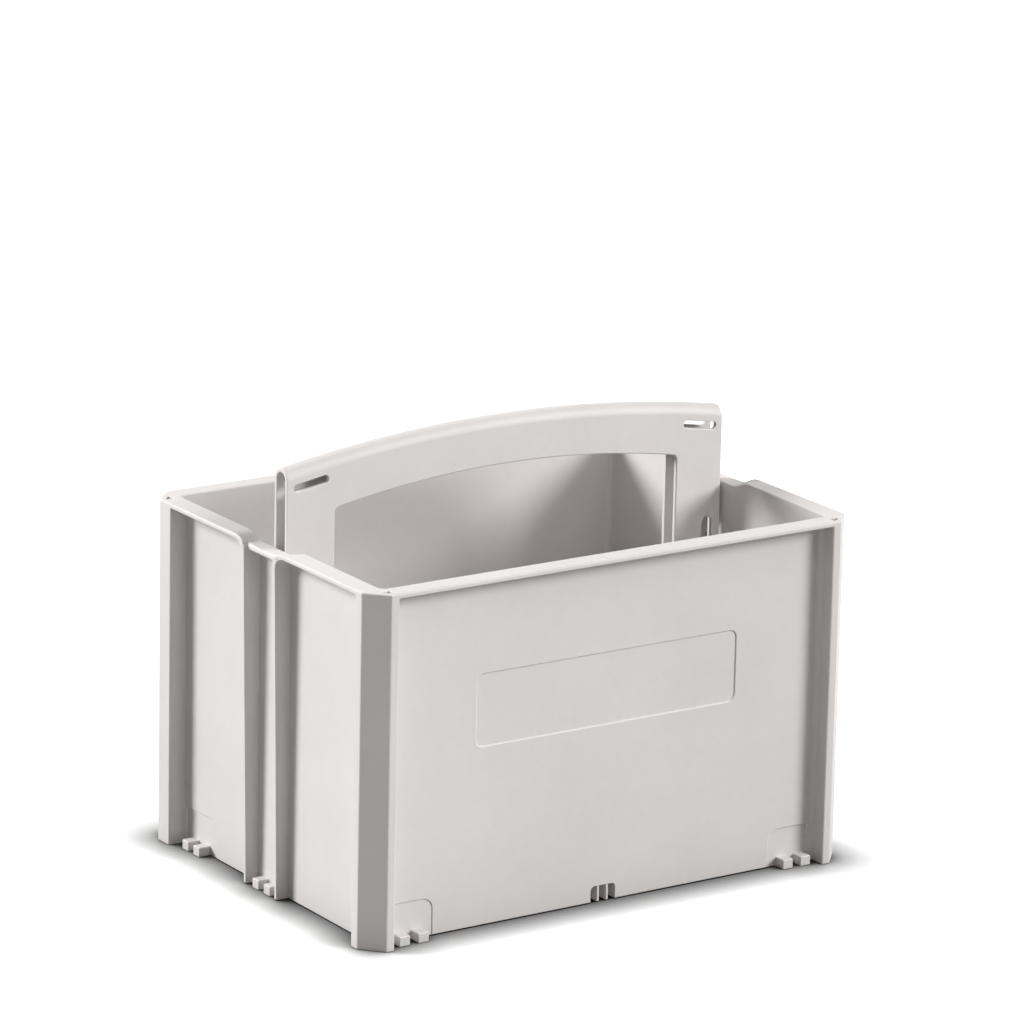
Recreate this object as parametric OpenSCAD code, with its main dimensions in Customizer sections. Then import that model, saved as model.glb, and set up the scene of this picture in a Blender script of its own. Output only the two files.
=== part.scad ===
// Open stacking tool caddy: a deep, thin-walled tub with hollow corner posts and
// a full-length carrying handle that pushes down flush with the rim.
// +X runs along the long sides, the front is at -Y, and z = 0 is the floor it stands on.

/* [Tub] */
// Length over the corner posts
tub_l = 396; // [380:1:420]
// Width over the corner posts
tub_w = 296; // [280:1:320]
// Height from the floor to the top of the rim
tub_h = 250; // [240:1:280]
// Wall thickness of the panels
wall_t = 2.4; // [2.2:0.1:3]
// Thickness of the tub's bottom
bottom_t = 3; // [2.5:0.5:5]
// Height of the bottom's underside above the floor
bottom_lift = 3.5; // [3:0.5:5]
// Height of the panels' lower edges above the floor
skirt_lift = 0.8; // [0.4:0.2:2]
// How far the long panels lie back from the posts' outer faces
long_recess = 13; // [12:0.5:15]
// How far the end panels lie back from the posts' outer faces
end_recess = 13.2; // [12.2:0.5:15.2]
// Radius of the tub's inner corners
inner_r = 5; // [3:0.5:8]
// Radius that blends the long panels into the posts
panel_blend_r = 4; // [3:0.5:5]

/* [Corner posts] */
// Length of a post's chamfer along the long side
chamfer_l = 14; // [12:0.5:16]
// Length of a post's chamfer along the end
chamfer_w = 15.5; // [13:0.5:18]
// Width of a post's flat strip on the long side
strip_long = 6.5; // [5:0.5:9]
// Width of a front post's flat strip on the end
strip_front = 8; // [6:0.5:12]
// Width of a rear post's flat strip on the end
strip_rear = 15; // [12:0.5:18]
// Wall thickness of a post
post_t = 2.4; // [2:0.1:3]
// Side of the small triangular opening on top of each post
post_hole = 6; // [4:0.5:7]

/* [Rim] */
// Thickness of the rim
rim_t = 3.5; // [3:0.25:5]
// Depth of the dip in the rim at each end of the handle
dip_depth = 5; // [3:0.5:7]
// Half-length of the dip's flat bottom
dip_flat = 20; // [16:1:24]
// Length of each slope that leads down into the dip
dip_slope = 17; // [12:1:22]
// Radius where the rim turns down into an end rib
rib_blend_r = 9; // [6:1:12]

/* [End ribs] */
// Distance between the middles of the two outer ribs on each end
rib_spacing = 40.8; // [38:0.2:44]
// Thickness of an outer rib
rib_t = 3; // [2.5:0.25:4]
// How far the outer ribs' lower ends lie back from the posts' faces
rib_setback = 4; // [2:0.5:6]

/* [Stacking teeth] */
// Width of a tooth
tooth_w = 8.5; // [7:0.5:10]
// Distance between the middles of two teeth in a pair
tooth_pitch = 15; // [13:0.5:17]
// How far a tooth stands out from its panel
tooth_depth = 8.3; // [6:0.1:10]
// Height of a tooth
tooth_h = 7; // [5:0.5:9]
// Middle of the long side's pairs, from the tub's middle
tooth_long_x = 159; // [155:0.5:162]
// Middle of the ends' rear pair, from the tub's middle
tooth_end_y = 95.5; // [90:0.5:99]
// Width of the grip notch in the long panels' lower edges
notch_w = 20; // [16:0.5:26]
// Height of the grip notch above the floor
notch_h = 12; // [10:0.5:16]
// Depth of the grip notch
notch_depth = 8; // [6:0.5:12]
// Corner radius of the grip notch
notch_r = 3; // [2:0.5:5]
// Thickness of the two ribs in the notch
notch_rib_t = 2; // [1.5:0.25:3]
// Distance between the middles of the two ribs in the notch
notch_rib_pitch = 7.4; // [6:0.2:9]

/* [Panel details] */
// Length of the sunk label field on the front panel
label_l = 213; // [180:1:240]
// Height of the sunk label field on the front panel
label_h = 51; // [40:1:60]
// Height of the label field's middle above the floor
label_z = 154; // [130:1:180]
// Depth of the label field
label_depth = 0.6; // [0.3:0.1:1]
// Corner radius of the label field
label_r = 5; // [3:0.5:8]
// Length of the long panels' sunk corner pads
pad_long_l = 33; // [24:1:44]
// Length of the end panels' sunk corner pads
pad_end_l = 44; // [30:1:50]
// Height of the sunk corner pads
pad_h = 27.5; // [20:0.5:34]
// Depth of the sunk corner pads
pad_depth = 0.8; // [0.4:0.1:1]
// Gap between the long panels' pads and the round that blends into the post
pad_gap = 0.8; // [0.4:0.2:2]
// Corner radius of the sunk corner pads
pad_r = 8; // [5:0.5:12]

/* [Handle] */
// Height of the raised handle's middle above the rim
handle_rise = 67; // [60:1:80]
// Thickness of the handle across its two plates
handle_t = 16.5; // [14:0.5:20]
// Thickness of each plate
plate_t = 3; // [2.5:0.25:3.5]
// Gap between each end of the handle and the end wall
end_gap = 2.1; // [1:0.1:3]
// Length of each leg along the tub
leg_l = 38.5; // [34:0.5:44]
// How far the legs reach down below the rim when raised
leg_reach = 130; // [124:1:136]
// Radius of the handle's arched top, seen from the side
arch_r = 1020; // [900:10:1400]
// Radius of the arch's lower edge
under_r = 756; // [700:4:1000]
// Height of the grip at its middle
grip_h = 34; // [30:0.5:38]
// Radius of the two corners under the grip
window_r = 4; // [2:0.5:8]
// Length of the slots near the handle's ends
slot_l = 28; // [20:0.5:30]
// Height of the slots near the handle's ends
slot_h = 5.4; // [4.5:0.1:7]
// Distance from the handle's top down to the middle of the slots
slot_drop = 14.6; // [13:0.2:18]
// Thickness of the webs between the two plates
web_t = 2.4; // [2:0.1:3]
// Number of webs under the grip
grip_webs = 7; // [3:2:11]
// Height of the webs under the grip
grip_web_h = 15; // [12:0.5:18]

/* [Guides] */
// Gap between a leg and each guide rail
guide_gap = 0.5; // [0.4:0.05:0.8]
// Thickness of a guide rail
rail_t = 3; // [2.5:0.25:4]
// Depth of a guide rail, inwards from the end wall
rail_d = 26; // [24:1:32]
// How far the guide rails stop below the dipped rim
rail_drop = 44; // [36:2:60]
// Diameter of a stop pin
pin_d = 8; // [6:0.5:9]
// Distance from the rim down to the stop pins
pin_drop = 100; // [96:1:104]
// Distance from the end wall to a stop pin's axis
pin_in = 13; // [12:0.5:15]
// Outer diameter of the bosses that hold a stop pin
boss_d = 17; // [14:0.5:19]
// Length of each boss beside its rail
boss_l = 4; // [3:0.5:6]
// Radial gap between a stop pin and its slot in the leg
pin_slot_gap = 0.35; // [0.3:0.05:0.6]
// Height of the shoe's plug inside the foot of a leg
shoe_plug = 14; // [10:0.5:16]
// Thickness of the shoe's sole below a leg
shoe_sole = 4; // [3:0.5:6]
// Side gap between a shoe and each guide rail
shoe_gap = 0.35; // [0.3:0.05:0.5]

/* [Hidden] */

shell_colour = "#dcdad5";
shoe_colour = "#8f9296";
pin_colour = "#b9bcc0";
round_fn = 64;
arch_fn = 720;
cut = 1;                    // how far a cutting solid runs past the face that it opens
pin_fit = 0.02;             // radial gap that stands for the stop pin's tap fit in its bosses

half_l = tub_l / 2;
half_w = tub_w / 2;
panel_x = half_l - end_recess;
panel_y = half_w - long_recess;
inner_x = panel_x - wall_t;
inner_y = panel_y - wall_t;
bottom_top = bottom_lift + bottom_t;
rim_under = tub_h - rim_t;
dip_outer = dip_flat + dip_slope;
dip_under = tub_h - dip_depth - rim_t;
dip_steps = 8;
rib_y = rib_spacing / 2;

handle_half = inner_x - end_gap;
handle_top = tub_h + handle_rise;
travel = handle_rise;
arch_z = handle_top - arch_r;
under_z = handle_top - grip_h - under_r;
window_x = handle_half - leg_l;
leg_foot = tub_h - leg_reach;
half_t = handle_t / 2;
plate_in = half_t - plate_t;
crown_r = arch_r - half_t;
slot_r = arch_r - slot_drop;
slot_x = handle_half - leg_l / 2;
slot_angle = asin(slot_x / slot_r);

rail_y = half_t + guide_gap;
rail_top = tub_h - dip_depth - rail_drop;
pin_x = inner_x - pin_in;
pin_z = tub_h - pin_drop;
boss_out = rail_y + rail_t + boss_l;
pin_l = 2 * boss_out;
pin_bore_r = pin_d / 2 + pin_fit;
leg_slot_w = pin_d + 2 * pin_slot_gap;
shoe_inset = 3;             // how far a shoe stays back from the leg's two edges
shoe_side = 0.3;            // gap between a shoe's plug and the plates
web_x = (window_x + pin_x - leg_slot_w / 2) / 2;

// Height of the rim's top along an end, which dips around the handle
function rim_z(y) = let (run = (abs(y) - dip_flat) / dip_slope)
    run >= 1 ? tub_h : run <= 0 ? tub_h - dip_depth : tub_h - dip_depth * (1 + cos(180 * run)) / 2;

// Points of the dipping edge from y = -dip_outer to y = dip_outer, lowered by a drop
function dip_points(drop) = concat(
    [for (i = [0:dip_steps]) let (y = -dip_outer + dip_slope * i / dip_steps) [y, rim_z(y) - drop]],
    [for (i = [0:dip_steps]) let (y = dip_flat + dip_slope * i / dip_steps) [y, rim_z(y) - drop]]);

function reversed(list) = [for (i = [len(list) - 1:-1:0]) list[i]];

// Repeats its children at the tub's left and right ends
module both_ends() {
    children();
    mirror([1, 0, 0])
        children();
}

// Repeats its children at the tub's front and back
module front_and_back() {
    children();
    mirror([0, 1, 0])
        children();
}

// Stands a profile drawn in Y and Z up, and runs it along X from x0 to x1
module along_x(x0, x1) {
    translate([x0, 0, 0])
        rotate([90, 0, 90])
            linear_extrude(x1 - x0)
                children();
}

// Stands a profile drawn in X and Z up, and runs it along Y from y0 to y1
module along_y(y0, y1) {
    translate([0, y1, 0])
        rotate([90, 0, 0])
            linear_extrude(y1 - y0)
                children();
}

// Rectangle from one corner to the other
module rect(low, high) {
    translate(low)
        square(high - low);
}

// Box from one corner to the other
module box(low, high) {
    translate(low)
        cube(high - low);
}

// Rectangle with round corners, centred
module round_rect(size, r) {
    square([size[0] - 2 * r, size[1]], center = true);
    square([size[0], size[1] - 2 * r], center = true);
    for (sx = [-1, 1], sy = [-1, 1])
        translate([sx * (size[0] / 2 - r), sy * (size[1] / 2 - r)])
            circle(r, $fn = round_fn);
}

// Slot outline with round ends, centred
module stadium(length, height) {
    square([length - height, height], center = true);
    for (side = [-1, 1])
        translate([side * (length - height) / 2, 0])
            circle(height / 2, $fn = round_fn);
}

// The corner between two walls, filled out to a round of radius r, in the +,+ quadrant
module blend_corner(r) {
    difference() {
        square(r);
        translate([r, r])
            circle(r, $fn = round_fn);
    }
}

// Outline of one corner post in the +X +Y corner, inset by a wall's thickness
module post_outline(inset, strip_end) {
    slope = norm([chamfer_w, chamfer_l]);
    normal_x = chamfer_w / slope;
    normal_y = chamfer_l / slope;
    polygon([
        [half_l - chamfer_l - strip_long + inset, panel_y],
        [half_l - chamfer_l - strip_long + inset, half_w - inset],
        [half_l - chamfer_l - inset * (1 - normal_y) / normal_x, half_w - inset],
        [half_l - inset, half_w - chamfer_w - inset * (1 - normal_x) / normal_y],
        [half_l - inset, half_w - chamfer_w - strip_end + inset],
        [panel_x, half_w - chamfer_w - strip_end + inset],
        [panel_x, panel_y]]);
}

// One hollow post with its blend into the long panel
module post(strip_end) {
    linear_extrude(rim_under)
        difference() {
            post_outline(0, strip_end);
            post_outline(post_t, strip_end);
        }
    translate([half_l - chamfer_l - strip_long, panel_y, skirt_lift])
        linear_extrude(rim_under - skirt_lift)
            mirror([1, 0])
                blend_corner(panel_blend_r);
}

module posts() {
    both_ends() {
        post(strip_rear);
        mirror([0, 1, 0])
            post(strip_front);
    }
}

// Openings through the rim into the hollow posts
module post_openings() {
    both_ends() {
        translate([half_l - chamfer_l, -half_w + post_t, rim_under - cut])
            linear_extrude(rim_t + 2 * cut)
                polygon([[-post_hole / 2, 0], [post_hole / 2, post_hole * 0.8], [-post_hole / 2, post_hole]]);
        translate([half_l - post_t, half_w - chamfer_w, rim_under - cut])
            linear_extrude(rim_t + 2 * cut)
                polygon([[0, -post_hole / 2], [-post_hole, -post_hole / 2], [-post_hole * 0.8, post_hole / 2]]);
    }
}

// Plan of the space inside the tub
module cavity_plan() {
    round_rect([2 * inner_x, 2 * inner_y], inner_r);
}

// Bottom, panels and the sunk underside
module panels() {
    difference() {
        translate([0, 0, skirt_lift])
            linear_extrude(tub_h - skirt_lift)
                square([2 * panel_x, 2 * panel_y], center = true);
        translate([0, 0, bottom_top])
            linear_extrude(tub_h)
                cavity_plan();
        linear_extrude(bottom_lift)
            cavity_plan();
        pad_cuts();
        label_cut();
    }
}

// Flat rim that joins the posts, and its lowered part over each end
module rim() {
    translate([0, 0, rim_under])
        linear_extrude(rim_t)
            difference() {
                polygon([
                    [-half_l, -half_w + chamfer_w], [-half_l + chamfer_l, -half_w],
                    [half_l - chamfer_l, -half_w], [half_l, -half_w + chamfer_w],
                    [half_l, half_w - chamfer_w], [half_l - chamfer_l, half_w],
                    [-half_l + chamfer_l, half_w], [-half_l, half_w - chamfer_w]]);
                cavity_plan();
            }
    both_ends()
        along_x(inner_x, half_l)
            polygon(concat(dip_points(0), reversed(dip_points(rim_t))));
}

// Everything above the dipping edge, to be cut away
module dip_cut() {
    both_ends()
        along_x(inner_x - cut, half_l + cut)
            polygon(concat(dip_points(0), [[dip_outer, tub_h + cut], [-dip_outer, tub_h + cut]]));
}

// Two tall ribs outside each end wall, with the round that carries them into the rim
module end_ribs() {
    both_ends()
        front_and_back() {
            along_y(rib_y - rib_t / 2, rib_y + rib_t / 2)
                polygon([
                    [panel_x - wall_t / 2, skirt_lift], [half_l - rib_setback, skirt_lift],
                    [half_l, dip_under], [half_l, dip_under + rim_t / 2],
                    [panel_x - wall_t / 2, dip_under + rim_t / 2]]);
            along_x(panel_x - wall_t / 2, half_l)
                translate([rib_y + rib_t / 2, rim_z(rib_y + rib_t / 2 + rib_blend_r) - rim_t])
                    mirror([0, 1])
                        blend_corner(rib_blend_r);
        }
}

// A pair of stacking teeth on a panel that faces +Y, around the middle x
module tooth_pair(x, face, pitch) {
    for (side = [-1, 1])
        box([x + side * pitch / 2 - tooth_w / 2, face - wall_t / 2, 0],
            [x + side * pitch / 2 + tooth_w / 2, face + tooth_depth, tooth_h]);
}

module teeth() {
    both_ends()
        front_and_back()
            tooth_pair(tooth_long_x, panel_y, tooth_pitch);
    both_ends()
        rotate([0, 0, -90]) {
            tooth_pair(0, panel_x, tooth_pitch);
            tooth_pair(-tooth_end_y, panel_x, tooth_pitch);
        }
}

// Pocket that the notch in a long panel opens into, seen as a bump inside the tub
module notch_pocket(grow, y1) {
    along_y(panel_y - notch_depth - grow, y1) {
        rect([-notch_w / 2 - grow, -cut], [notch_w / 2 + grow, notch_h / 2]);
        translate([0, notch_h / 2])
            round_rect([notch_w + 2 * grow, notch_h + 2 * grow], notch_r + grow);
    }
}

module notches() {
    front_and_back()
        intersection() {
            notch_pocket(wall_t, panel_y - wall_t / 2);
            box([-tub_l / 2, 0, skirt_lift], [tub_l / 2, tub_w / 2, tub_h]);
        }
}

module notch_cuts() {
    front_and_back()
        difference() {
            notch_pocket(0, panel_y + cut);
            for (side = [-1, 1])
                box([side * notch_rib_pitch / 2 - notch_rib_t / 2, panel_y - notch_depth - cut, skirt_lift],
                    [side * notch_rib_pitch / 2 + notch_rib_t / 2, panel_y - cut / 2, tub_h]);
        }
}

// Sunk pad beside a post: drawn from the post's side at the origin, growing to +X and up
module pad_shape(length) {
    rect([0, -cut], [length - pad_r, pad_h]);
    rect([0, -cut], [length, pad_h - pad_r]);
    translate([length - pad_r, pad_h - pad_r])
        circle(pad_r, $fn = round_fn);
}

module pad_cuts() {
    both_ends()
        front_and_back()
            along_y(panel_y - pad_depth, panel_y + cut)
                translate([half_l - chamfer_l - strip_long - panel_blend_r - pad_gap, 0])
                    mirror([1, 0])
                        pad_shape(pad_long_l);
    both_ends()
        along_x(panel_x - pad_depth, panel_x + cut)
            translate([half_w - chamfer_w - strip_rear, 0])
                mirror([1, 0])
                    pad_shape(pad_end_l);
}

module label_cut() {
    along_y(-panel_y - cut, -panel_y + label_depth)
        translate([0, label_z])
            round_rect([label_l, label_h], label_r);
}

// Two rails inside each end wall that guide a leg, and the bosses for its stop pin
module guides() {
    both_ends()
        front_and_back() {
            box([inner_x - rail_d, rail_y, bottom_top - bottom_t / 2],
                [inner_x + wall_t / 2, rail_y + rail_t, rail_top]);
            translate([pin_x, boss_out, pin_z])
                rotate([90, 0, 0])
                    cylinder(h = boss_l + rail_t / 2, d = boss_d, $fn = round_fn);
        }
}

module tub() {
    color(shell_colour)
        difference() {
            union() {
                panels();
                posts();
                rim();
                end_ribs();
                teeth();
                notches();
                guides();
            }
            dip_cut();
            post_openings();
            notch_cuts();
            for (side = [-1, 1])
                translate([side * pin_x, boss_out + cut, pin_z])
                    rotate([90, 0, 0])
                        cylinder(h = pin_l + 2 * cut, r = pin_bore_r, $fn = round_fn);
        }
}

// Opening under the grip, seen from the side, with round upper corners
module grip_window() {
    corner_x = window_x - window_r;
    corner_z = under_z + sqrt(pow(under_r - window_r, 2) - pow(corner_x, 2));
    touch_x = corner_x * under_r / (under_r - window_r);
    intersection() {
        translate([0, under_z])
            circle(under_r, $fn = arch_fn);
        rect([-touch_x, leg_foot - cut], [touch_x, handle_top]);
    }
    rect([-window_x, leg_foot - cut], [window_x, corner_z]);
    for (side = [-1, 1])
        translate([side * corner_x, corner_z])
            circle(window_r, $fn = round_fn);
}

// Slot through both plates near an end of the handle, following the arch
module strap_slot() {
    translate([0, arch_z])
        rotate([0, 0, -slot_angle])
            translate([0, slot_r])
                stadium(slot_l, slot_h);
}

// Upright slot in a leg that runs past its stop pin
module travel_slot() {
    translate([pin_x, pin_z + travel / 2])
        rotate(90)
            stadium(travel + leg_slot_w, leg_slot_w);
}

// Side view of one plate, below the middle of the rounded crown
module plate_shape() {
    difference() {
        intersection() {
            translate([0, arch_z])
                circle(crown_r, $fn = arch_fn);
            rect([-handle_half, leg_foot], [handle_half, handle_top]);
        }
        grip_window();
        for (side = [0, 1])
            mirror([side, 0]) {
                strap_slot();
                travel_slot();
            }
    }
}

// Rounded top of the handle: half a tube that follows the arch
module crown() {
    sweep = asin(handle_half / (arch_r - half_t)) + 1;
    intersection() {
        translate([0, 0, arch_z])
            rotate([90, 0, 0])
                rotate([0, 0, 90 - sweep])
                    rotate_extrude(angle = 2 * sweep, $fn = arch_fn)
                        translate([crown_r, 0])
                            intersection() {
                                difference() {
                                    circle(half_t, $fn = round_fn);
                                    circle(plate_in, $fn = round_fn);
                                }
                                rect([0, -handle_t], [handle_t, handle_t]);
                            }
        box([-handle_half, -handle_t, leg_foot], [handle_half, handle_t, handle_top + cut]);
    }
}

// Webs between the plates: one down each leg and a row under the grip
module webs() {
    web_y = half_t - plate_t / 2;
    web_top = arch_z + sqrt(pow(slot_r - slot_h, 2) - pow(handle_half, 2));
    for (side = [-1, 1])
        box([side * web_x - web_t / 2, -web_y, leg_foot + shoe_plug + web_t],
            [side * web_x + web_t / 2, web_y, web_top]);
    spacing = 2 * (window_x - window_r) / (grip_webs + 1);
    for (i = [1:grip_webs])
        let (x = -window_x + window_r + i * spacing, z = arch_z + sqrt(pow(crown_r, 2) - x * x))
            along_x(x - web_t / 2, x + web_t / 2) {
                rect([-web_y, z - grip_web_h], [web_y, z]);
                translate([0, z])
                    circle(web_y, $fn = round_fn);
            }
}

module handle() {
    color(shell_colour)
        union() {
            crown();
            along_y(plate_in, half_t)
                plate_shape();
            along_y(-half_t, -plate_in)
                plate_shape();
            webs();
        }
}

// Sliding shoe that closes the foot of the right leg
module shoe() {
    plug_y = plate_in - shoe_side;
    sole_y = rail_y - shoe_gap;
    color(shoe_colour) {
        box([window_x + shoe_inset, -plug_y, leg_foot - cut],
            [handle_half - shoe_inset, plug_y, leg_foot + shoe_plug]);
        box([window_x + shoe_inset, -sole_y, leg_foot - shoe_sole],
            [handle_half - shoe_inset, sole_y, leg_foot]);
    }
}

module left_shoe() {
    mirror([1, 0, 0])
        shoe();
}

module right_shoe() {
    shoe();
}

// Pin that stops the leg at the ends of its slot
module stop_pin(x) {
    color(pin_colour)
        translate([x, pin_l / 2, pin_z])
            rotate([90, 0, 0])
                cylinder(h = pin_l, d = pin_d, $fn = round_fn);
}

module left_stop_pin() {
    stop_pin(-pin_x);
}

module right_stop_pin() {
    stop_pin(pin_x);
}

tub();
handle();
left_shoe();
right_shoe();
left_stop_pin();
right_stop_pin();
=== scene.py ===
"""Stacking tool caddy: a thin-walled tub and the full-length handle that pushes down flush with its rim.

+X runs along the long sides, the front is at -Y, and z = 0 is the floor it stands on.
Sizes inside the functions are millimetres; skin() turns them into metres.
"""

import math
from types import SimpleNamespace

import bmesh
import bpy
from bpy.props import FloatProperty, FloatVectorProperty, IntProperty, PointerProperty
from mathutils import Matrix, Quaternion, Vector


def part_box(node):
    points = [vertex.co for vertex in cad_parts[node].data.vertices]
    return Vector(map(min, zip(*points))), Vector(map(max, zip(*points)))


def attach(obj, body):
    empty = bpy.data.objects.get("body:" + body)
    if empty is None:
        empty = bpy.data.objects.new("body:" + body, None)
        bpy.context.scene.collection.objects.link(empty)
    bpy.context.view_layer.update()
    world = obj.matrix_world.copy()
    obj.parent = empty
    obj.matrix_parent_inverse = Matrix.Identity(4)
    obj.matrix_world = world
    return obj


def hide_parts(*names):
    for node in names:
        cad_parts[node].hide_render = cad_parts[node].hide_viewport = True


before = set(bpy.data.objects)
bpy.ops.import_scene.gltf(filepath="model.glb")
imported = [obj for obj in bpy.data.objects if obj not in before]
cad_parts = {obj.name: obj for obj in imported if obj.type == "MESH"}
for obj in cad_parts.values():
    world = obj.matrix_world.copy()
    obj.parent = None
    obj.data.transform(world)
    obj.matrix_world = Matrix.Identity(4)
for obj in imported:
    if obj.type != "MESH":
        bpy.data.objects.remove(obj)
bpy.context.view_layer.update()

bl_info = {
    "name": "Tool caddy",
    "version": (1, 0, 0),
    "blender": (4, 5, 0),
    "location": "3D View > Sidebar > Tool caddy",
    "description": "Builds a stacking tool caddy with a sliding handle around its packed frame",
    "category": "Add Mesh",
}

MM = 0.001
CUT = 3.0  # how far a cutting solid runs past the face that it opens, in mm
BITE = 1.0  # how far a solid runs into the one that it joins or cuts, in mm
ARC_STEPS = 5  # faces round a quarter turn
SHORTEST = 0.001  # edges shorter than this, in mm, are closed up in a finished piece
SHARP = 38  # faces that meet at more than this, in degrees, keep a corner between them
SENSOR = 36.0  # width of the camera's sensor, in mm
SHADOW_POWER = 2.8  # how quickly the contact shadow on the floor darkens towards the caddy
SHADOW_LEAN = (0.66, -0.48, 0.58)  # lean of the rays that look for the caddy from the floor


# ---------------- settings


def linear(hex_colour):
    """The linear red, green and blue of an sRGB colour such as #d3d1ce."""
    parts = [int(hex_colour[i : i + 2], 16) / 255 for i in (1, 3, 5)]
    return tuple(c / 12.92 if c <= 0.04045 else ((c + 0.055) / 1.055) ** 2.4 for c in parts)


def length(name, description, default):
    """A length property; its default is given in millimetres."""
    return FloatProperty(
        name=name, description=description, default=default * MM, min=0, unit="LENGTH", subtype="DISTANCE"
    )


def angle(name, description, degrees):
    return FloatProperty(
        name=name, description=description, default=math.radians(degrees), unit="ROTATION", subtype="ANGLE"
    )


def strength(name, description, default):
    return FloatProperty(name=name, description=description, default=default, min=0)


def colour(name, description, default):
    return FloatVectorProperty(
        name=name, description=description, default=linear(default), min=0, max=1, size=3, subtype="COLOR"
    )


def span(node, axis):
    """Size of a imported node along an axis, in millimetres."""
    low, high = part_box(node)
    return (high[axis] - low[axis]) / MM


def top(node):
    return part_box(node)[1][2] / MM


def foot(node):
    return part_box(node)[0][2] / MM


class CaddyTubSettings(bpy.types.PropertyGroup):
    size_l: length("Length", "Length over the corner posts", span("tub", 0))
    size_w: length("Width", "Width over the corner posts", span("tub", 1))
    size_h: length("Height", "Height from the floor to the top of the rim", top("tub"))
    wall: length("Wall", "Thickness of the panels", 2.4)
    bottom_lift: length("Underside", "Height of the bottom's underside above the floor", 3.5)
    bottom_t: length("Bottom", "Thickness of the bottom", 3)
    skirt: length("Skirt", "Height of the panels' lower edges above the floor", 0.8)
    long_recess: length("Long recess", "How far the long panels lie back from the posts", 13)
    end_recess: length("End recess", "How far the end panels lie back from the posts", 13.2)
    inner_r: length("Inner corner", "Radius of the tub's inner corners", 5)
    floor_r: length("Floor round", "Radius that carries the inner walls into the bottom", 4)
    blend_r: length("Panel blend", "Radius that blends the long panels into the posts", 4)
    chamfer_l: length("Chamfer along", "Length of a post's chamfer along the long side", 14)
    chamfer_w: length("Chamfer across", "Length of a post's chamfer along the end", 15.5)
    chamfer_r: length("Chamfer round", "Radius on both edges of a post's chamfer", 2.2)
    strip_long: length("Side strip", "Width of a post's flat strip on the long side", 6.5)
    strip_front: length("Front end strip", "Width of a front post's flat strip on the end", 8)
    strip_rear: length("Rear end strip", "Width of a rear post's flat strip on the end", 15)
    post_t: length("Post wall", "Wall thickness of a post", 2.4)
    post_hole: length("Post hole", "Side of the small triangular opening on top of each post", 7.5)
    rim_t: length("Rim", "Thickness of the rim", 3.5)
    rim_r: length("Rim round", "Radius on the rim's upper outer edge", 1.3)
    dip_depth: length("Dip", "Depth of the dip in the rim at each end of the handle", 5)
    dip_flat: length("Dip flat", "Half-length of the dip's flat bottom", 20)
    dip_slope: length("Dip slope", "Length of each slope into the dip, along the rim's inner edge", 18)
    dip_slope_out: length("Outer dip slope", "Length of each slope into it, along the rim's outer edge", 12)
    dip_inset: length("Dip inset", "How far the rim lies back between the two end ribs", 3)
    rib_pitch: length("Rib pitch", "Distance between the middles of the two outer ribs on each end", 40.8)
    rib_t: length("Rib", "Thickness of an outer rib", 3)
    rib_setback: length("Rib setback", "How far the ribs' lower ends lie back from the posts", 4)
    rib_blend: length("Rib blend", "Radius where the rim turns down into an end rib", 9)


class CaddyTubDetailSettings(bpy.types.PropertyGroup):
    tooth_w: length("Tooth width", "Width of a stacking tooth", 8.5)
    tooth_pitch: length("Tooth pitch", "Distance between the middles of two teeth in a pair", 15)
    tooth_depth: length("Tooth depth", "How far a tooth stands out from its panel", 8.3)
    tooth_h: length("Tooth height", "Height of a stacking tooth", 7)
    tooth_long_x: length("Long side teeth", "Middle of the long side's pairs, from the tub's middle", 159)
    tooth_end_y: length("End teeth", "Middle of the ends' rear pair, from the tub's middle", 95.5)
    notch_w: length("Notch width", "Width of the grip notch in the long panels' lower edges", 20)
    notch_h: length("Notch height", "Height of the grip notch above the floor", 12)
    notch_depth: length("Notch depth", "Depth of the grip notch", 8)
    notch_r: length("Notch corner", "Corner radius of the grip notch", 3)
    notch_rib: length("Notch rib", "Thickness of the two ribs in the notch", 2)
    notch_rib_pitch: length("Notch rib pitch", "Distance between the two ribs in the notch", 7.4)
    label_l: length("Label length", "Length of the sunk field on the front panel", 213)
    label_h: length("Label height", "Height of the sunk field on the front panel", 51)
    label_z: length("Label middle", "Height of the sunk field's middle above the floor", 154)
    label_depth: length("Label depth", "Depth of the sunk field", 0.9)
    label_r: length("Label corner", "Corner radius of the sunk field", 5)
    pad_long: length("Long pad", "Length of the long panels' sunk corner pads", 33)
    pad_end: length("End pad", "Length of the end panels' sunk corner pads", 44)
    pad_h: length("Pad height", "Height of the sunk corner pads", 27.5)
    pad_depth: length("Pad depth", "Depth of the sunk corner pads", 0.8)
    pad_gap: length("Pad gap", "Gap between the long panels' pads and the blend into the post", 0.8)
    pad_r: length("Pad corner", "Corner radius of the sunk corner pads", 8)
    rail_t: length("Rail", "Thickness of a guide rail", 3)
    rail_d: length("Rail depth", "Depth of a guide rail, inwards from the end wall", 26)
    rail_drop: length("Rail drop", "How far the guide rails stop below the dipped rim", 44)
    boss_d: length("Boss", "Outer diameter of the bosses that hold a stop pin", 17)
    boss_l: length("Boss length", "Length of each boss beside its rail", 4)
    eject_d: length("Ejector mark", "Diameter of the ejector marks on the bottom", 9)


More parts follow.
